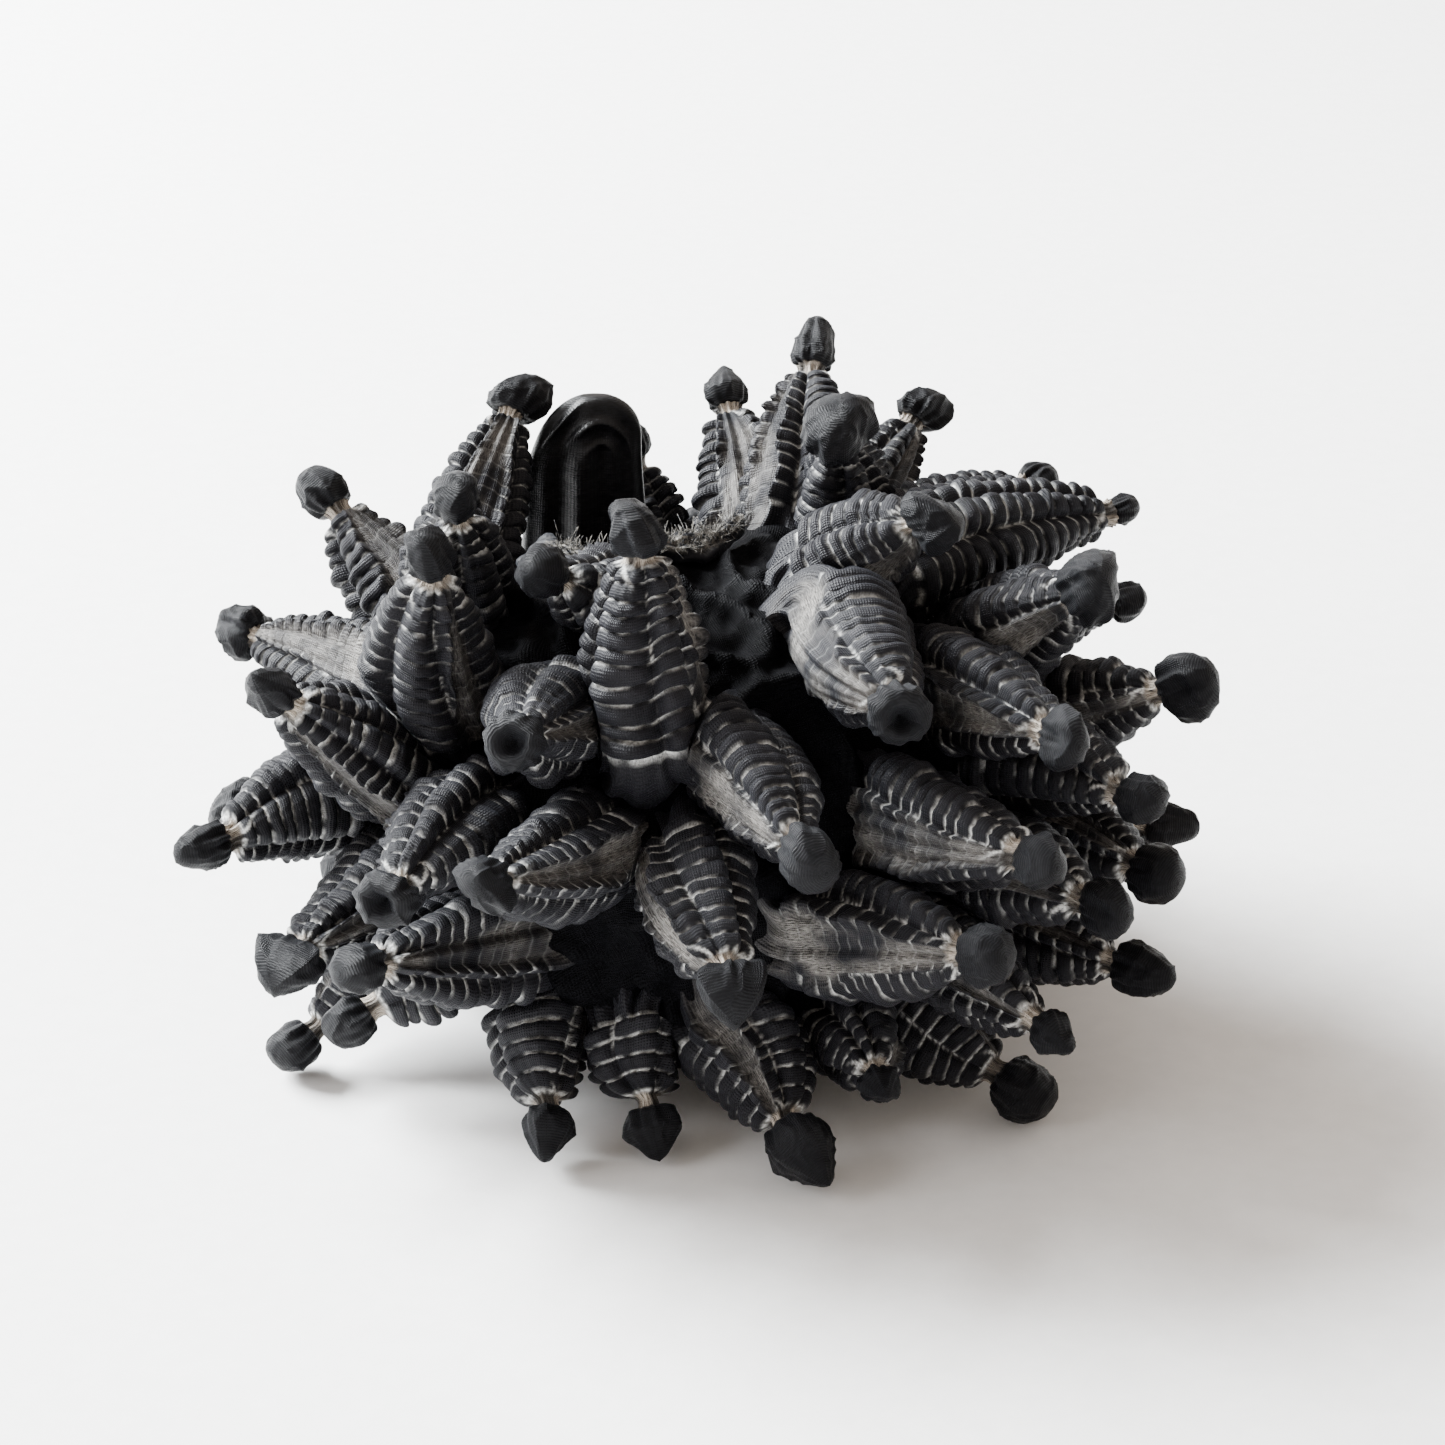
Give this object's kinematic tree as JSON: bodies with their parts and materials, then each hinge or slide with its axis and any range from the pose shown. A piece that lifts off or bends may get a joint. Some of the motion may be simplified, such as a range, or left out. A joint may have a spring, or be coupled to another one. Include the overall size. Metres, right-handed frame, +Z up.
{
  "type": "shibori cloth boa",
  "caption": "Round bundle of black bound-and-set cloth: ribbed, bulb-tipped cloth horns stand out all round a gathered ground cloth with a hollow at the top.",
  "frame": {"origin": "middle of the flat patch on the underside of the ground cloth, on the surface that the bundle rests on", "axes": "+Z up; -Y towards the side seen in the picture; +X to the right of that side"},
  "size_m": [0.1487, 0.1454, 0.0951],
  "materials": {
    "black_cloth": "matte black plain-weave cloth with a faint satin sheen on its folds",
    "horn_cloth": "heat-set ribbed black cloth with thin undyed resist lines in the grooves and an undyed band at the neck",
    "frayed_edge": "raw cut edge with loose fibres"
  },
  "bodies": {
    "bundle": {"ground_cloth": "black_cloth", "raw_edge": "frayed_edge", "loop_fold": "black_cloth"},
    "crown_horn_01_body": {"crown_horn_01": "horn_cloth"},
    "crown_horn_02_body": {"crown_horn_02": "horn_cloth"},
    "crown_horn_03_body": {"crown_horn_03": "horn_cloth"},
    "crown_horn_04_body": {"crown_horn_04": "horn_cloth"},
    "crown_horn_05_body": {"crown_horn_05": "horn_cloth"},
    "crown_horn_06_body": {"crown_horn_06": "horn_cloth"},
    "crown_horn_07_body": {"crown_horn_07": "horn_cloth"},
    "crown_horn_08_body": {"crown_horn_08": "horn_cloth"},
    "crown_horn_09_body": {"crown_horn_09": "horn_cloth"},
    "crown_horn_10_body": {"crown_horn_10": "horn_cloth"},
    "upper_horn_01_body": {"upper_horn_01": "horn_cloth"},
    "upper_horn_02_body": {"upper_horn_02": "horn_cloth"},
    "upper_horn_03_body": {"upper_horn_03": "horn_cloth"},
    "upper_horn_04_body": {"upper_horn_04": "horn_cloth"},
    "upper_horn_05_body": {"upper_horn_05": "horn_cloth"},
    "upper_horn_06_body": {"upper_horn_06": "horn_cloth"},
    "upper_horn_07_body": {"upper_horn_07": "horn_cloth"},
    "upper_horn_08_body": {"upper_horn_08": "horn_cloth"},
    "upper_horn_09_body": {"upper_horn_09": "horn_cloth"},
    "upper_horn_10_body": {"upper_horn_10": "horn_cloth"},
    "upper_horn_11_body": {"upper_horn_11": "horn_cloth"},
    "upper_horn_12_body": {"upper_horn_12": "horn_cloth"},
    "upper_horn_13_body": {"upper_horn_13": "horn_cloth"},
    "upper_horn_14_body": {"upper_horn_14": "horn_cloth"},
    "upper_horn_15_body": {"upper_horn_15": "horn_cloth"},
    "upper_horn_16_body": {"upper_horn_16": "horn_cloth"},
    "middle_horn_01_body": {"middle_horn_01": "horn_cloth"},
    "middle_horn_02_body": {"middle_horn_02": "horn_cloth"},
    "middle_horn_03_body": {"middle_horn_03": "horn_cloth"},
    "middle_horn_04_body": {"middle_horn_04": "horn_cloth"},
    "middle_horn_05_body": {"middle_horn_05": "horn_cloth"},
    "middle_horn_06_body": {"middle_horn_06": "horn_cloth"},
    "middle_horn_07_body": {"middle_horn_07": "horn_cloth"},
    "middle_horn_08_body": {"middle_horn_08": "horn_cloth"},
    "middle_horn_09_body": {"middle_horn_09": "horn_cloth"},
    "middle_horn_10_body": {"middle_horn_10": "horn_cloth"},
    "middle_horn_11_body": {"middle_horn_11": "horn_cloth"},
    "middle_horn_12_body": {"middle_horn_12": "horn_cloth"},
    "middle_horn_13_body": {"middle_horn_13": "horn_cloth"},
    "middle_horn_14_body": {"middle_horn_14": "horn_cloth"},
    "middle_horn_15_body": {"middle_horn_15": "horn_cloth"},
    "middle_horn_16_body": {"middle_horn_16": "horn_cloth"},
    "middle_horn_17_body": {"middle_horn_17": "horn_cloth"},
    "floor_horn_01_body": {"floor_horn_01": "horn_cloth"},
    "floor_horn_02_body": {"floor_horn_02": "horn_cloth"},
    "floor_horn_03_body": {"floor_horn_03": "horn_cloth"},
    "floor_horn_04_body": {"floor_horn_04": "horn_cloth"},
    "floor_horn_05_body": {"floor_horn_05": "horn_cloth"},
    "floor_horn_06_body": {"floor_horn_06": "horn_cloth"},
    "floor_horn_07_body": {"floor_horn_07": "horn_cloth"},
    "floor_horn_08_body": {"floor_horn_08": "horn_cloth"},
    "floor_horn_09_body": {"floor_horn_09": "horn_cloth"},
    "floor_horn_10_body": {"floor_horn_10": "horn_cloth"},
    "floor_horn_11_body": {"floor_horn_11": "horn_cloth"},
    "floor_horn_12_body": {"floor_horn_12": "horn_cloth"},
    "floor_horn_13_body": {"floor_horn_13": "horn_cloth"},
    "floor_horn_14_body": {"floor_horn_14": "horn_cloth"}
  },
  "joints": [
    {"name": "crown_horn_01_sway", "type": "hinge", "parent": "bundle", "child": "crown_horn_01_body", "pos_m": [-0.03456, 0.01065, 0.06316], "axis": [-0.2137, -0.5895, 0.779], "range_deg": [-10, 10], "stiffness_Nm_per_rad": 0.003},
    {"name": "crown_horn_02_sway", "type": "hinge", "parent": "bundle", "child": "crown_horn_02_body", "pos_m": [-0.0037, 0.04118, 0.05066], "axis": [0.6801, -0.6265, 0.3807], "range_deg": [-10, 10], "stiffness_Nm_per_rad": 0.003},
    {"name": "crown_horn_03_sway", "type": "hinge", "parent": "bundle", "child": "crown_horn_03_body", "pos_m": [0.00944, 0.03527, 0.06141], "axis": [0.1599, -0.6356, 0.7553], "range_deg": [-10, 10], "stiffness_Nm_per_rad": 0.003},
    {"name": "crown_horn_04_sway", "type": "hinge", "parent": "bundle", "child": "crown_horn_04_body", "pos_m": [0.01574, 0.0243, 0.06913], "axis": [-0.0998, -0.697, 0.71], "range_deg": [-10, 10], "stiffness_Nm_per_rad": 0.003},
    {"name": "crown_horn_05_sway", "type": "hinge", "parent": "bundle", "child": "crown_horn_05_body", "pos_m": [0.02223, 0.01664, 0.0692], "axis": [0.1292, 0.8945, 0.4279], "range_deg": [-10, 10], "stiffness_Nm_per_rad": 0.003},
    {"name": "crown_horn_06_sway", "type": "hinge", "parent": "bundle", "child": "crown_horn_06_body", "pos_m": [0.02058, -0.00673, 0.07289], "axis": [-0.5251, 0.2716, 0.8066], "range_deg": [-10, 10], "stiffness_Nm_per_rad": 0.003},
    {"name": "crown_horn_07_sway", "type": "hinge", "parent": "bundle", "child": "crown_horn_07_body", "pos_m": [-0.00456, -0.03474, 0.06317], "axis": [0.7472, -0.6571, 0.0991], "range_deg": [-10, 10], "stiffness_Nm_per_rad": 0.003},
    {"name": "crown_horn_08_sway", "type": "hinge", "parent": "bundle", "child": "crown_horn_08_body", "pos_m": [-0.0113, -0.01371, 0.07305], "axis": [0.2522, 0.3548, 0.9003], "range_deg": [-10, 10], "stiffness_Nm_per_rad": 0.003},
    {"name": "crown_horn_09_sway", "type": "hinge", "parent": "bundle", "child": "crown_horn_09_body", "pos_m": [-0.03427, -0.01937, 0.0592], "axis": [-0.0208, 0.9336, 0.3578], "range_deg": [-10, 10], "stiffness_Nm_per_rad": 0.003},
    {"name": "crown_horn_10_sway", "type": "hinge", "parent": "bundle", "child": "crown_horn_10_body", "pos_m": [-0.03237, -0.00415, 0.06659], "axis": [-0.0597, 0.8677, 0.4935], "range_deg": [-10, 10], "stiffness_Nm_per_rad": 0.003},
    {"name": "upper_horn_01_sway", "type": "hinge", "parent": "bundle", "child": "upper_horn_01_body", "pos_m": [0.04505, 0.00309, 0.04263], "axis": [-0.3812, 0.2484, 0.8905], "range_deg": [-10, 10], "stiffness_Nm_per_rad": 0.003},
    {"name": "upper_horn_02_sway", "type": "hinge", "parent": "bundle", "child": "upper_horn_02_body", "pos_m": [0.04175, 0.00174, 0.05555], "axis": [-0.3609, 0.5053, 0.7838], "range_deg": [-10, 10], "stiffness_Nm_per_rad": 0.003},
    {"name": "upper_horn_03_sway", "type": "hinge", "parent": "bundle", "child": "upper_horn_03_body", "pos_m": [0.03773, 0.02012, 0.05022], "axis": [-0.0504, -0.017, 0.9986], "range_deg": [-10, 10], "stiffness_Nm_per_rad": 0.003},
    {"name": "upper_horn_04_sway", "type": "hinge", "parent": "bundle", "child": "upper_horn_04_body", "pos_m": [0.03186, 0.0056, 0.06743], "axis": [-0.0783, -0.0365, 0.9963], "range_deg": [-10, 10], "stiffness_Nm_per_rad": 0.003},
    {"name": "upper_horn_05_sway", "type": "hinge", "parent": "bundle", "child": "upper_horn_05_body", "pos_m": [0.02939, 0.01993, 0.06313], "axis": [-0.1501, -0.1125, 0.9822], "range_deg": [-10, 10], "stiffness_Nm_per_rad": 0.003},
    {"name": "upper_horn_06_sway", "type": "hinge", "parent": "bundle", "child": "upper_horn_06_body", "pos_m": [0.02192, 0.03057, 0.05993], "axis": [-0.3154, -0.4585, 0.8309], "range_deg": [-10, 10], "stiffness_Nm_per_rad": 0.003},
    {"name": "upper_horn_07_sway", "type": "hinge", "parent": "bundle", "child": "upper_horn_07_body", "pos_m": [0.01588, 0.03775, 0.05315], "axis": [-0.0201, -0.0421, 0.9989], "range_deg": [-10, 10], "stiffness_Nm_per_rad": 0.003},
    {"name": "upper_horn_08_sway", "type": "hinge", "parent": "bundle", "child": "upper_horn_08_body", "pos_m": [0.00622, 0.04262, 0.04448], "axis": [0.0348, -0.1801, 0.983], "range_deg": [-10, 10], "stiffness_Nm_per_rad": 0.003},
    {"name": "upper_horn_09_sway", "type": "hinge", "parent": "bundle", "child": "upper_horn_09_body", "pos_m": [-0.02607, 0.03572, 0.0408], "axis": [0.1104, -0.4543, 0.884], "range_deg": [-10, 10], "stiffness_Nm_per_rad": 0.003},
    {"name": "upper_horn_10_sway", "type": "hinge", "parent": "bundle", "child": "upper_horn_10_body", "pos_m": [-0.03885, 0.01592, 0.05364], "axis": [0.4466, -0.3882, 0.8062], "range_deg": [-10, 10], "stiffness_Nm_per_rad": 0.003},
    {"name": "upper_horn_11_sway", "type": "hinge", "parent": "bundle", "child": "upper_horn_11_body", "pos_m": [-0.04388, 0.00281, 0.04934], "axis": [0.0292, -0.0232, 0.9993], "range_deg": [-10, 10], "stiffness_Nm_per_rad": 0.003},
    {"name": "upper_horn_12_sway", "type": "hinge", "parent": "bundle", "child": "upper_horn_12_body", "pos_m": [-0.04015, -0.01923, 0.04686], "axis": [0.4701, 0.4764, 0.743], "range_deg": [-10, 10], "stiffness_Nm_per_rad": 0.003},
    {"name": "upper_horn_13_sway", "type": "hinge", "parent": "bundle", "child": "upper_horn_13_body", "pos_m": [-0.01735, -0.03195, 0.0615], "axis": [0.0631, 0.2923, 0.9542], "range_deg": [-10, 10], "stiffness_Nm_per_rad": 0.003},
    {"name": "upper_horn_14_sway", "type": "hinge", "parent": "bundle", "child": "upper_horn_14_body", "pos_m": [0.00519, -0.03786, 0.0581], "axis": [0.0222, -0.0539, 0.9983], "range_deg": [-10, 10], "stiffness_Nm_per_rad": 0.003},
    {"name": "upper_horn_15_sway", "type": "hinge", "parent": "bundle", "child": "upper_horn_15_body", "pos_m": [0.02147, -0.02091, 0.06881], "axis": [-0.0037, 0.0152, 0.9999], "range_deg": [-10, 10], "stiffness_Nm_per_rad": 0.003},
    {"name": "upper_horn_16_sway", "type": "hinge", "parent": "bundle", "child": "upper_horn_16_body", "pos_m": [0.03701, -0.01548, 0.05813], "axis": [-0.0691, 0.1376, 0.9881], "range_deg": [-10, 10], "stiffness_Nm_per_rad": 0.003},
    {"name": "middle_horn_01_sway", "type": "hinge", "parent": "bundle", "child": "middle_horn_01_body", "pos_m": [0.04446, 0.00589, 0.02907], "axis": [0.1635, 0.0117, 0.9865], "range_deg": [-10, 10], "stiffness_Nm_per_rad": 0.003},
    {"name": "middle_horn_02_sway", "type": "hinge", "parent": "bundle", "child": "middle_horn_02_body", "pos_m": [0.0452, -0.00388, 0.03356], "axis": [-0.0195, 0.0212, 0.9996], "range_deg": [-10, 10], "stiffness_Nm_per_rad": 0.003},
    {"name": "middle_horn_03_sway", "type": "hinge", "parent": "bundle", "child": "middle_horn_03_body", "pos_m": [0.04265, -0.01255, 0.0456], "axis": [-0.1046, 0.1164, 0.9877], "range_deg": [-10, 10], "stiffness_Nm_per_rad": 0.003},
    {"name": "middle_horn_04_sway", "type": "hinge", "parent": "bundle", "child": "middle_horn_04_body", "pos_m": [0.03952, -0.02146, 0.03402], "axis": [-0.0908, 0.1125, 0.9895], "range_deg": [-10, 10], "stiffness_Nm_per_rad": 0.003},
    {"name": "middle_horn_05_sway", "type": "hinge", "parent": "bundle", "child": "middle_horn_05_body", "pos_m": [0.02942, -0.03239, 0.04621], "axis": [-0.1101, 0.1479, 0.9828], "range_deg": [-10, 10], "stiffness_Nm_per_rad": 0.003},
    {"name": "middle_horn_06_sway", "type": "hinge", "parent": "bundle", "child": "middle_horn_06_body", "pos_m": [0.02086, -0.03876, 0.03127], "axis": [-0.2023, 0.2171, 0.955], "range_deg": [-10, 10], "stiffness_Nm_per_rad": 0.003},
    {"name": "middle_horn_07_sway", "type": "hinge", "parent": "bundle", "child": "middle_horn_07_body", "pos_m": [0.00052, -0.04324, 0.04332], "axis": [0.0266, -0.1234, 0.992], "range_deg": [-10, 10], "stiffness_Nm_per_rad": 0.003},
    {"name": "middle_horn_08_sway", "type": "hinge", "parent": "bundle", "child": "middle_horn_08_body", "pos_m": [-0.01332, -0.0406, 0.04621], "axis": [0.1202, 0.2114, 0.97], "range_deg": [-10, 10], "stiffness_Nm_per_rad": 0.003},
    {"name": "middle_horn_09_sway", "type": "hinge", "parent": "bundle", "child": "middle_horn_09_body", "pos_m": [-0.02909, -0.03241, 0.04577], "axis": [0.0266, 0.071, 0.9971], "range_deg": [-10, 10], "stiffness_Nm_per_rad": 0.003},
    {"name": "middle_horn_10_sway", "type": "hinge", "parent": "bundle", "child": "middle_horn_10_body", "pos_m": [-0.02652, -0.03497, 0.02846], "axis": [0.1762, 0.2149, 0.9606], "range_deg": [-10, 10], "stiffness_Nm_per_rad": 0.003},
    {"name": "middle_horn_11_sway", "type": "hinge", "parent": "bundle", "child": "middle_horn_11_body", "pos_m": [-0.04557, -0.00593, 0.03936], "axis": [0.0202, 0.022, 0.9996], "range_deg": [-10, 10], "stiffness_Nm_per_rad": 0.003},
    {"name": "middle_horn_12_sway", "type": "hinge", "parent": "bundle", "child": "middle_horn_12_body", "pos_m": [-0.04114, -0.01815, 0.03045], "axis": [-0.0107, -0.02, 0.9997], "range_deg": [-10, 10], "stiffness_Nm_per_rad": 0.003},
    {"name": "middle_horn_13_sway", "type": "hinge", "parent": "bundle", "child": "middle_horn_13_body", "pos_m": [-0.04459, 0.00616, 0.03106], "axis": [-0.1351, 0.0195, 0.9906], "range_deg": [-10, 10], "stiffness_Nm_per_rad": 0.003},
    {"name": "middle_horn_14_sway", "type": "hinge", "parent": "bundle", "child": "middle_horn_14_body", "pos_m": [-0.03489, 0.02821, 0.034], "axis": [-0.0443, 0.0326, 0.9985], "range_deg": [-10, 10], "stiffness_Nm_per_rad": 0.003},
    {"name": "middle_horn_15_sway", "type": "hinge", "parent": "bundle", "child": "middle_horn_15_body", "pos_m": [-0.01255, 0.04209, 0.03637], "axis": [-0.1414, 0.2904, 0.9464], "range_deg": [-10, 10], "stiffness_Nm_per_rad": 0.003},
    {"name": "middle_horn_16_sway", "type": "hinge", "parent": "bundle", "child": "middle_horn_16_body", "pos_m": [0.00911, 0.04257, 0.03269], "axis": [0.0085, 0.0378, 0.9992], "range_deg": [-10, 10], "stiffness_Nm_per_rad": 0.003},
    {"name": "middle_horn_17_sway", "type": "hinge", "parent": "bundle", "child": "middle_horn_17_body", "pos_m": [0.03187, 0.03109, 0.03405], "axis": [0.1094, 0.1038, 0.9886], "range_deg": [-10, 10], "stiffness_Nm_per_rad": 0.003},
    {"name": "floor_horn_01_sway", "type": "hinge", "parent": "bundle", "child": "floor_horn_01_body", "pos_m": [0.04059, -0.01216, 0.02075], "axis": [-0.0367, 0.0319, 0.9988], "range_deg": [-10, 10], "stiffness_Nm_per_rad": 0.003},
    {"name": "floor_horn_02_sway", "type": "hinge", "parent": "bundle", "child": "floor_horn_02_body", "pos_m": [0.03296, -0.0275, 0.02468], "axis": [0.0563, -0.073, 0.9957], "range_deg": [-10, 10], "stiffness_Nm_per_rad": 0.003},
    {"name": "floor_horn_03_sway", "type": "hinge", "parent": "bundle", "child": "floor_horn_03_body", "pos_m": [0.03001, -0.0244, 0.01262], "axis": [0.2769, -0.1912, 0.9417], "range_deg": [-10, 10], "stiffness_Nm_per_rad": 0.003},
    {"name": "floor_horn_04_sway", "type": "hinge", "parent": "bundle", "child": "floor_horn_04_body", "pos_m": [0.02169, -0.03048, 0.01273], "axis": [-0.0224, 0.092, 0.9955], "range_deg": [-10, 10], "stiffness_Nm_per_rad": 0.003},
    {"name": "floor_horn_05_sway", "type": "hinge", "parent": "bundle", "child": "floor_horn_05_body", "pos_m": [0.0065, -0.038, 0.01429], "axis": [0.2105, -0.3615, 0.9083], "range_deg": [-10, 10], "stiffness_Nm_per_rad": 0.003},
    {"name": "floor_horn_06_sway", "type": "hinge", "parent": "bundle", "child": "floor_horn_06_body", "pos_m": [-0.00736, -0.03644, 0.01357], "axis": [0.1947, -0.6755, 0.7112], "range_deg": [-10, 10], "stiffness_Nm_per_rad": 0.003},
    {"name": "floor_horn_07_sway", "type": "hinge", "parent": "bundle", "child": "floor_horn_07_body", "pos_m": [-0.02031, -0.03264, 0.01449], "axis": [0.0359, -0.5185, 0.8543], "range_deg": [-10, 10], "stiffness_Nm_per_rad": 0.003},
    {"name": "floor_horn_08_sway", "type": "hinge", "parent": "bundle", "child": "floor_horn_08_body", "pos_m": [-0.0341, -0.02384, 0.02008], "axis": [-0.3738, -0.1796, 0.9099], "range_deg": [-10, 10], "stiffness_Nm_per_rad": 0.003},
    {"name": "floor_horn_09_sway", "type": "hinge", "parent": "bundle", "child": "floor_horn_09_body", "pos_m": [-0.03926, -0.00978, 0.01564], "axis": [-0.3557, -0.2677, 0.8954], "range_deg": [-10, 10], "stiffness_Nm_per_rad": 0.003},
    {"name": "floor_horn_10_sway", "type": "hinge", "parent": "bundle", "child": "floor_horn_10_body", "pos_m": [-0.03786, 0.0138, 0.01499], "axis": [-0.3374, 0.167, 0.9264], "range_deg": [-10, 10], "stiffness_Nm_per_rad": 0.003},
    {"name": "floor_horn_11_sway", "type": "hinge", "parent": "bundle", "child": "floor_horn_11_body", "pos_m": [-0.02845, 0.03282, 0.02617], "axis": [-0.2636, 0.7685, 0.5831], "range_deg": [-10, 10], "stiffness_Nm_per_rad": 0.003},
    {"name": "floor_horn_12_sway", "type": "hinge", "parent": "bundle", "child": "floor_horn_12_body", "pos_m": [0.00131, 0.04004, 0.0181], "axis": [-0.1078, 0.5295, 0.8414], "range_deg": [-10, 10], "stiffness_Nm_per_rad": 0.003},
    {"name": "floor_horn_13_sway", "type": "hinge", "parent": "bundle", "child": "floor_horn_13_body", "pos_m": [0.02048, 0.03294, 0.01429], "axis": [0.1969, 0.3119, 0.9295], "range_deg": [-10, 10], "stiffness_Nm_per_rad": 0.003},
    {"name": "floor_horn_14_sway", "type": "hinge", "parent": "bundle", "child": "floor_horn_14_body", "pos_m": [0.03742, 0.01498, 0.01498], "axis": [0.3541, 0.1458, 0.9238], "range_deg": [-10, 10], "stiffness_Nm_per_rad": 0.003}
  ]
}
